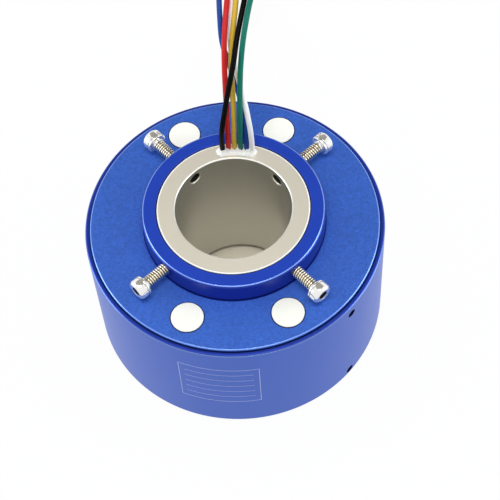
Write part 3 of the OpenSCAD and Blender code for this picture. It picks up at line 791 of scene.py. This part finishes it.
def make_tip(colour, start, end):
    """The twisted and tinned strands at a lead's end."""
    strands, sides, rows = 7, 56, 30
    radius, sunk, twist = 0.5 * MM, 0.2 * MM, 1.2 * FULL_TURN
    ridge, taper_from = 0.14, 0.93
    length = (end - start).length
    verts = []
    for row in range(rows + 1):
        t = row / rows
        along = t * length - sunk * (1 - t)
        taper = 1 if t < taper_from else 1 - 0.5 * (t - taper_from) / (1 - taper_from)
        for s in range(sides):
            a = FULL_TURN * s / sides
            strand = abs(math.cos(strands * (a + twist * t / strands) / 2))
            r = radius * taper * (1 - ridge + ridge * strand)
            verts.append((r * math.cos(a), r * math.sin(a), along))
    name = "tinned_tip_" + colour
    tip = new_piece(name, mesh_from(name, verts, wrapped_faces(rows, sides)))
    turn = (end - start).to_track_quat("Z", "Y").to_matrix().to_4x4()
    tip.data.transform(Matrix.Translation(start) @ turn)
    tip.data.shade_smooth()
    return finish_piece(tip, "rotor", [], "screw_steel", "tinned_wire")


class SLIPRING_OT_stator_shell(bpy.types.Operator):
    """Makes the housing, its top cover, the seals and the marking"""
    bl_idname = "slipring.stator_shell"
    bl_label = "Stator shell"

    def execute(self, context):
        shape = settings()[0]
        make_housing(shape.edge_round)
        make_top_cover(shape.edge_round)
        make_seals()
        make_marking()
        return {"FINISHED"}


def make_housing(edge):
    """The turned shell, with the holes for the covers' grub screws and the lead outlet."""
    rim_in_r = rim_step()
    cavity_r = nearest("housing")
    cavity_low, cavity_high = high_z("bottom_cover"), low_z("top_cover")
    foot, rim, inner_edge, line = 1.0 * MM, 0.5 * MM, 0.15 * MM, 0.2 * MM
    hole_r, outlet_r = 1.6 * MM, 4.0 * MM
    upper_hole = middle_z("top_cover_grub_screws")
    lower_hole = middle_z("bottom_cover_grub_screws")
    band = 3 * MM
    skin = 0.1 * MM
    sharp = [
        (cavity_r, cavity_low), (rim_in_r, cavity_low), (rim_in_r, 0), (housing_r - foot, 0),
        (housing_r, foot), (housing_r, rim_z - rim), (housing_r - line, rim_z - rim + line),
        (housing_r - rim, rim_z), (rim_in_r + inner_edge, rim_z), (rim_in_r, rim_z - inner_edge),
        (rim_in_r, cavity_high), (cavity_r, cavity_high),
    ]
    outline = with_rows(filleted(sharp, edge), housing_r,
                        [lower_hole + band, 20 * MM, 30 * MM, upper_hole - band])
    piece = turned_piece("housing_shell", outline, stator_turn)
    cutters = []
    for angle in grub_directions():
        for height in (upper_hole, lower_hole):
            drill = rod_mesh(hole_r, housing_r - 8 * MM, housing_r + 2 * MM)
            drill.transform(along_radius(angle, height))
            cutters.append(drill)
    outlet = rod_mesh(outlet_r, cavity_r - 2 * MM, housing_r + 2 * MM)
    outlet.transform(along_radius(flat_angle("stator_lead_grommet"),
                                  middle_z("stator_lead_grommet")))
    cut(piece, [*cutters, outlet])
    soften(piece)
    finish_piece(piece, "stator", ["housing"], "housing_anodised")
    paint(piece, "rim_anodised",
          lambda r, z, slope: z > cavity_high and r < housing_r - line)
    paint(piece, "seam_shade",
          lambda r, z, slope: rim_in_r + skin < r < housing_r - skin
          and (abs(z - upper_hole) < hole_r or abs(z - lower_hole) < hole_r and z > foot))
    # Painted highlight along the lower edge of the housing's chamfer
    paint(piece, "edge_line",
          lambda r, z, slope: rim_z - rim - skin < z < rim_z - rim + line and slope > 0.1)


def rim_step():
    """Inner radius of the housing's two ends, read at its foot."""
    return min(math.hypot(c.x, c.y) for c in corners_of("housing") if c.z < 0.1 * MM)


def grub_directions():
    """The two directions in which the covers' grub screws lie."""
    one_screw = [c for c in corners_of("top_cover_grub_screws") if c.x > 0]
    middle = sum(one_screw, Vector()) / len(one_screw)
    angle = math.atan2(middle.y, middle.x)
    return [angle, angle + math.pi]


def with_rows(outline, radius, heights):
    """Adds points on a long straight wall of this radius, so that its faces are shorter."""
    grown = []
    count = len(outline)
    for i in range(count):
        a, b = outline[i], outline[(i + 1) % count]
        grown.append(a)
        on_wall = abs(a[0] - radius) < 1e-6 and abs(b[0] - radius) < 1e-6
        if on_wall and abs(a[1] - b[1]) > 5 * MM:
            inside = [h for h in heights if min(a[1], b[1]) < h < max(a[1], b[1])]
            grown += [(radius, h) for h in sorted(inside, reverse=a[1] > b[1])]
    return grown


def make_top_cover(edge):
    """The cover plate, with its chamfer and the shallow pockets of the seals."""
    seat_r, seat_z = reach("upper_bearing_outer_race"), high_z("upper_bearing_outer_race")
    lip_r = nearest("top_cover")
    low = low_z("top_cover")
    chamfer, line = 0.4 * MM, 0.18 * MM
    shade_r = collar_r + 0.25 * MM
    pocket_r, pocket_depth = 5.6 * MM, 0.12 * MM
    sharp = [
        (seat_r, low), (cover_r, low), (cover_r, cover_z - chamfer),
        (cover_r - chamfer + line, cover_z - line), (cover_r - chamfer, cover_z),
        (shade_r, cover_z), (lip_r, cover_z), (lip_r, seat_z), (seat_r, seat_z),
    ]
    piece = turned_piece("top_cover_plate", filleted(sharp, edge), stator_turn)
    cutters = []
    for place in seal_places():
        drill = rod_mesh(pocket_r, cover_z - pocket_depth, cover_z + 1 * MM, 64)
        drill.transform(Matrix.Translation(place))
        cutters.append(drill)
    cut(piece, cutters)
    soften(piece)
    finish_piece(piece, "stator", ["top_cover"], "cover_anodised")
    # Painted highlight on the upper half of the cover's chamfer
    paint(piece, "anodised_edge",
          lambda r, z, slope: r > cover_r - 2 * chamfer and z > cover_z - line and slope < 0.97)
    # Painted shade on the cover beneath the collar
    paint(piece, "collar_wall", lambda r, z, slope: r < shade_r)
    # The pockets' floors, the wall behind the housing's rim and the hidden underside
    paint(piece, "seam_shade",
          lambda r, z, slope: r > collar_r and low < z < cover_z - 0.04 * MM
          and (slope > 0.9 or r > cover_r - 0.1 * MM and z < cover_z - 1.5 * chamfer
               or r < cover_r - chamfer))


def seal_places():
    """The middle of each seal, from the CAD seals' corners."""
    groups = {}
    for corner in corners_of("cover_seals"):
        groups.setdefault((corner.x > 0, corner.y > 0), []).append(corner)
    return [Vector(((min(c.x for c in g) + max(c.x for c in g)) / 2,
                    (min(c.y for c in g) + max(c.y for c in g)) / 2, 0)) for g in groups.values()]


def make_seals():
    """Four film discs in one piece, each a little hollow on top."""
    low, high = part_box("cover_seals")
    radius = 5.25 * MM
    sunk_z = cover_z - 0.13 * MM
    # From the edge inwards: inset from the edge and drop under the top, in millimetres
    hollow = [(0, 0.12), (0.04, 0.04), (0.14, 0), (0.5, 0.04), (1.2, 0.05)]
    outline = [(0, sunk_z), (radius - 0.05 * MM, sunk_z), (radius, low.z + 0.1 * MM)]
    outline += [(radius - inset * MM, high.z - drop * MM) for inset, drop in hollow]
    outline += [(radius / 2, high.z - 0.04 * MM), (0, high.z - 0.03 * MM)]
    discs = []
    for place in seal_places():
        disc = spindle("seal", outline, 96)
        disc.transform(Matrix.Translation(place))
        discs.append(disc)
    piece = new_piece("seal_discs", joined("seal_discs", discs))
    soften(piece, 50)
    finish_piece(piece, "stator", ["cover_seals"], "seal_film")


def make_marking():
    """A bare etched panel with ruled lines on the housing's side."""
    centre, half, inset = math.radians(-94), math.radians(15.5), math.radians(2.2)
    low, high = 15 * MM, 38 * MM
    line, thin_line = 0.14 * MM, 0.1 * MM
    rows = 6
    side = line / housing_r
    strips = [(-half, half, low, low + line), (-half, half, high - line, high),
              (-half, -half + side, low, high), (half - side, half, low, high)]
    for i in range(1, rows):
        z = low + (high - low) * i / rows
        strips.append((-half + inset, half - inset, z, z + thin_line))
    piece = new_piece("marking_panel", joined("marking_panel", [
        etched_strip(centre + a, centre + b, z0, z1) for a, b, z0, z1 in strips]))
    finish_piece(piece, "stator", [], "housing_anodised", "marking_etch")


def etched_strip(start, end, low, high):
    """A thin strip that lies on the housing's wall."""
    proud, sunk = 0.015 * MM, 0.03 * MM
    steps = max(1, round((end - start) / math.radians(1.5)))
    out_r, in_r = housing_r + proud, housing_r - sunk
    verts, faces = [], []
    for s in range(steps + 1):
        a = start + (end - start) * s / steps
        for r, z in ((out_r, low), (out_r, high), (in_r, high), (in_r, low)):
            verts.append((r * math.cos(a), r * math.sin(a), z))
    for s in range(steps):
        for i in range(4):
            j = (i + 1) % 4
            faces.append((s * 4 + i, s * 4 + 4 + i, s * 4 + 4 + j, s * 4 + j))
    faces += [(0, 1, 2, 3), tuple(steps * 4 + i for i in (3, 2, 1, 0))]
    return closed_mesh("strip", verts, faces)


class SLIPRING_OT_rotor_shell(bpy.types.Operator):
    """Makes the rotor tube, the collar and the potting"""
    bl_idname = "slipring.rotor_shell"
    bl_label = "Rotor shell"

    def execute(self, context):
        shape = settings()[0]
        make_collar(shape.edge_round)
        make_tube(shape.edge_round)
        make_potting(shape.wick_height)
        return {"FINISHED"}


def clamp_angle(index):
    """The direction of a clamp screw, seen from above."""
    return math.pi / 2 * (index + 0.5)


def clamp_drills(outline):
    """A drill of this outline on the line of each clamp screw."""
    drills = []
    for i in range(len(SCREWS)):
        drill = spindle("drill", outline, 48)
        drill.transform(along_radius(clamp_angle(i), clamp_z))
        drills.append(drill)
    return drills


def make_collar(edge):
    """The clamp collar, with its chamfers and the holes of the clamp screws."""
    chamfer, foot, inner_edge, line = 0.6 * MM, 0.3 * MM, 0.38 * MM, 0.2 * MM
    sharp = [
        (tube_r, collar_z), (collar_r - foot, collar_z), (collar_r, collar_z + foot),
        (collar_r, tube_z - chamfer), (collar_r - chamfer + line, tube_z - line),
        (collar_r - chamfer, tube_z), (tube_r + inner_edge, tube_z), (tube_r, tube_z - inner_edge),
    ]
    piece = turned_piece("clamp_collar", filleted(sharp, edge))
    start, end = tube_r - 1 * MM, collar_r + 1 * MM
    cut(piece, clamp_drills([(0, start), (SCREW_HOLE_R, start), (SCREW_HOLE_R, end), (0, end)]))
    soften(piece)
    finish_piece(piece, "rotor", ["collar"], "collar_anodised")
    # Painted shade on the collar's side and chamfer
    paint(piece, "collar_wall", lambda r, z, slope: r > collar_r - chamfer and slope < 0.75)
    # Painted highlight along the top of the collar's chamfer
    paint(piece, "anodised_edge",
          lambda r, z, slope: r > collar_r - 2 * chamfer and z > tube_z - line and slope < 0.97)
    paint(piece, "seam_shade", lambda r, z, slope: r < tube_r + inner_edge)


def make_tube(edge):
    """The bored tube, with the circlip's groove and the screw holes' wide mouths in the bore."""
    low = low_z("rotor_tube")
    outer = tube_r - 0.02 * MM
    foot, top, rim, strip = 1.0 * MM, 0.35 * MM, 0.16 * MM, 0.34 * MM
    clip_low, clip_high = low_z("circlip"), high_z("circlip")
    groove_r = tube_r - 1.5 * MM
    mouth_r, mouth_depth = 3.1 * MM, 0.3 * MM
    sharp = [
        (bore_r + foot, low), (outer - rim, low), (outer, low + rim), (outer, clip_low),
        (groove_r, clip_low), (groove_r, clip_high), (outer, clip_high), (outer, tube_z - rim),
        (outer - rim, tube_z), (outer - rim - strip, tube_z), (bore_r + top, tube_z),
        (bore_r, tube_z - top), (bore_r, low + foot),
    ]
    outline = with_rows(filleted(sharp, edge), bore_r,
                        [10 * MM, 20 * MM, 30 * MM, 40 * MM, clamp_z - 3 * MM])
    piece = turned_piece("bored_tube", outline)
    start, end = bore_r - 1 * MM, tube_r + 1 * MM
    cut(piece, clamp_drills([(0, start), (mouth_r, start), (SCREW_HOLE_R, bore_r + mouth_depth),
                             (SCREW_HOLE_R, end), (0, end)]))
    soften(piece)
    finish_piece(piece, "rotor", ["rotor_tube"], "tube_aluminium")
    paint(piece, "bore_wall", lambda r, z, slope: r < bore_r + 0.03 * MM)
    paint(piece, "hole_shade",
          lambda r, z, slope: bore_r + 0.5 * MM < r < tube_r - 1 * MM
          and low + 5 * MM < z < tube_z - 1 * MM)
    # Painted highlight on the chamfers round the tube's face
    paint(piece, "tube_edge", lambda r, z, slope: z > tube_z - top and slope < 0.9)
    # Painted highlight: a white strip on the face along its outer edge
    paint(piece, "tube_rim", lambda r, z, slope: z > tube_z - rim and r > outer - rim - strip)
    paint(piece, "hole_shade", lambda r, z, slope: z < low + foot and r < bore_r + foot)


def wander(x, y, z):
    """Smooth noise about a half."""
    return 0.5 + noise.noise((x, y, z))


def make_potting(wick):
    """The resin pad on the tube's face, which creeps up round each lead."""
    pad = high_z("potting") - tube_z
    half = math.radians(18.3)
    in_r, out_r = 19.9 * MM, 24.6 * MM
    sunk, lump, lump_size, creep, root = 0.03 * MM, 0.22 * MM, 0.9 * MM, 0.38 * MM, 0.5 * MM
    feet = [lead_route(c)[0] for c in RISES]
    rows, cols = 40, 170
    verts, faces = [], []
    for i in range(rows + 1):
        for j in range(cols + 1):
            u, v = 2 * i / rows - 1, 2 * j / cols - 1
            ragged = max(0.05, 1 - abs(v) ** 7) ** 0.5
            ragged *= 1 - 0.2 * wander(v * 6, u, 3.1) - 0.1 * wander(v * 19, u, 5.3)
            a = math.pi / 2 - v * half * (1 - 0.07 * wander(u * 3, 7.7, v))
            r = (in_r + out_r) / 2 + u * ragged * (out_r - in_r) / 2
            side = max(0.0, 1 - abs(u) ** 3) * max(0.0, 1 - abs(v) ** 14)
            x, y = r * math.cos(a), r * math.sin(a)
            z = tube_z - sunk + pad * side ** 0.6
            z += lump * side * noise.noise((x / lump_size, y / lump_size, 0))
            for k, foot in enumerate(feet):
                gap = max(0.0, math.hypot(x - foot.x, y - foot.y) - LEAD_DIAMETER / 2)
                bearing = math.atan2(y - foot.y, x - foot.x)
                peak = wick * (0.55 + 0.6 * noise.noise((bearing * 1.1, k * 4.7, 0.5)))
                z += side ** 0.4 * max(0.25 * wick, peak) * math.exp(-gap / creep)
            verts.append((x, y, z))
    stride = cols + 1
    for i in range(rows):
        for j in range(cols):
            a = i * stride + j
            faces.append((a, a + 1, a + stride + 1, a + stride))
    base = len(verts)
    border = ([(0, j) for j in range(cols)] + [(i, cols) for i in range(rows)]
              + [(rows, j) for j in range(cols, 0, -1)] + [(i, 0) for i in range(rows, 0, -1)])
    for i, j in border:
        x, y, _ = verts[i * stride + j]
        verts.append((x, y, tube_z - root))
    count = len(border)
    for k in range(count):
        i, j = border[k]
        m, n = border[(k + 1) % count]
        faces.append((i * stride + j, base + k, base + (k + 1) % count, m * stride + n))
    faces.append(tuple(base + k for k in range(count)))
    mesh = closed_mesh("potting_pad", verts, faces)
    mesh.shade_smooth()
    finish_piece(new_piece("potting_pad", mesh), "rotor", ["potting"], "potting_resin")


class SLIPRING_OT_screws(bpy.types.Operator):
    """Makes the four clamp screws with their threads and sockets"""
    bl_idname = "slipring.screws"
    bl_label = "Clamp screws"

    def execute(self, context):
        shape = settings()[0]
        for i, node in enumerate(SCREWS):
            make_screw(i, node, shape.thread_pitch, shape.thread_depth)
        return {"FINISHED"}


def thread_mesh(radius, pitch, depth, start, end):
    """A threaded bar along +Z, with a chamfer at its start and painted shade in its roots."""
    around, per_pitch = 36, 10
    rows = round((end - start) / pitch * per_pitch)
    chamfer = 0.5 * MM
    verts, finishes = [], []
    for row in range(rows + 1):
        z = start + (end - start) * row / rows
        for s in range(around):
            a = FULL_TURN * s / around
            crest = crest_share(z / pitch - s / around)
            r = min(radius - depth + depth * crest, radius - chamfer + max(0.0, z - start))
            verts.append((r * math.cos(a), r * math.sin(a), z))
    for row in range(rows):
        z = start + (end - start) * (row + 0.5) / rows
        for s in range(around):
            low = crest_share(z / pitch - (s + 0.5) / around) < 0.5
            finishes.append(ROOT_SHADE if low else THREAD)
    mesh = mesh_from("thread", verts, wrapped_faces(rows, around))
    for face, finish in zip(mesh.polygons, finishes):
        face.material_index = finish
    return mesh


def crest_share(turns):
    """How far a point of the thread stands out: 0 at the root and 1 at the crest."""
    root, flank = 0.2, 0.55
    rise = abs((turns % 1) * 2 - 1)
    return min(1.0, max(0.0, (rise - root) / flank))


def make_screw(index, node, pitch, depth):
    """One clamp screw, made along +Z and laid on its radius."""
    head_r, head_h, shank_r = 3.5 * MM, 4.0 * MM, 2.0 * MM
    edge, under_edge, neck, stub = 0.8 * MM, 0.3 * MM, 0.12 * MM, 0.7 * MM
    top, under = clamp_end_r, clamp_end_r - head_h
    groove, groove_z = 0.1 * MM, under + 0.85 * MM
    groove_top = groove_z + 2.5 * groove
    sharp = [
        (shank_r, under - stub), (shank_r, under - neck), (shank_r + neck, under),
        (head_r - under_edge, under), (head_r, under + under_edge), (head_r, groove_z),
        (head_r - groove, groove_z + groove), (head_r - groove, groove_z + 1.5 * groove),
        (head_r, groove_top), (head_r, top - edge), (head_r - edge, top), (1.9 * MM, top),
    ]
    outline = [(0, under - stub)] + open_fillet(sharp, 0.32 * MM) + [(0, top)]
    head = new_piece("head", spindle("head", outline, 96))
    socket_r, socket_z = 3.0 * MM / math.cos(math.pi / 6) / 2, top - 2 * MM
    mouth_in_r, mouth_out_r = 1.55 * MM, 2.25 * MM
    mouth_low, mouth_high = top - 0.25 * MM, top + 0.1 * MM
    mouth = spindle("mouth", [(0, mouth_low), (mouth_in_r, mouth_low), (mouth_out_r, mouth_high),
                              (0, mouth_high)], 48)
    cut(head, [rod_mesh(socket_r, socket_z, top + 1 * MM, 6), mouth])
    # Painted shade in the head's groove and down inside its socket
    for face in head.data.polygons:
        r, z = math.hypot(face.center.x, face.center.y), face.center.z
        if head_r - 1.5 * groove < r < head_r - 0.1 * groove and groove_z < z < groove_top:
            face.material_index = ROOT_SHADE
        elif r < socket_r and socket_z - 0.1 * MM < z < mouth_low - 0.02 * MM:
            face.material_index = SHADE
    thread = thread_mesh(shank_r, pitch, depth, clamp_tip_r, under - 0.6 * MM)
    name = "clamp_screw_steel_%d" % (index + 1)
    screw = joined(name, [head.data.copy(), thread])
    bpy.data.objects.remove(head)
    screw.transform(along_radius(clamp_angle(index), clamp_z))
    piece = new_piece(name, screw)
    for finish in SCREW_FINISHES:
        piece.data.materials.append(bpy.data.materials[finish])
    soften(piece, 40)
    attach(piece, node + "_body")
    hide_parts(node)


class SLIPRING_OT_finishes(bpy.types.Operator):
    """Makes the materials and gives them to the CAD nodes"""
    bl_idname = "slipring.finishes"
    bl_label = "Finishes"

    def execute(self, context):
        make_materials(settings()[1])
        slots = {part["node"]: part["material_slot"] for part in frame["record"]["subparts"]}
        for name, node in frame["nodes"].items():
            for slot in node.material_slots:
                slot.material = bpy.data.materials[slots[name]]
        return {"FINISHED"}


class SLIPRING_PT_panel(bpy.types.Panel):
    """Lists the steps of dressing the slip ring"""
    bl_idname = "SLIPRING_PT_panel"
    bl_label = "Slip Ring"
    bl_space_type = "VIEW_3D"
    bl_region_type = "UI"
    bl_category = "Slip Ring"

    def draw(self, context):
        for step in STEPS:
            self.layout.operator(step.bl_idname)
        for group in (context.scene.slip_ring_shape, context.scene.slip_ring_look,
                      context.scene.slip_ring_stage):
            column = self.layout.column()
            for key in group.__annotations__:
                column.prop(group, key)


STEPS = [SLIPRING_OT_finishes, SLIPRING_OT_stage, SLIPRING_OT_leads, SLIPRING_OT_stator_shell,
         SLIPRING_OT_rotor_shell, SLIPRING_OT_screws]
CLASSES = [SlipRingShape, SlipRingLook, SlipRingStage, *STEPS, SLIPRING_PT_panel]


def register():
    for cls in CLASSES:
        bpy.utils.register_class(cls)
    bpy.types.Scene.slip_ring_shape = bpy.props.PointerProperty(type=SlipRingShape)
    bpy.types.Scene.slip_ring_look = bpy.props.PointerProperty(type=SlipRingLook)
    bpy.types.Scene.slip_ring_stage = bpy.props.PointerProperty(type=SlipRingStage)


def unregister():
    del bpy.types.Scene.slip_ring_stage
    del bpy.types.Scene.slip_ring_look
    del bpy.types.Scene.slip_ring_shape
    for cls in reversed(CLASSES):
        bpy.utils.unregister_class(cls)


def main():
    register()
    bpy.context.scene.view_settings.view_transform = "Standard"
    bpy.ops.slipring.finishes()
    bpy.ops.slipring.stage()
    bpy.ops.slipring.leads()
    bpy.ops.slipring.stator_shell()
    bpy.ops.slipring.rotor_shell()
    bpy.ops.slipring.screws()


if __name__ == "__main__":
    main()
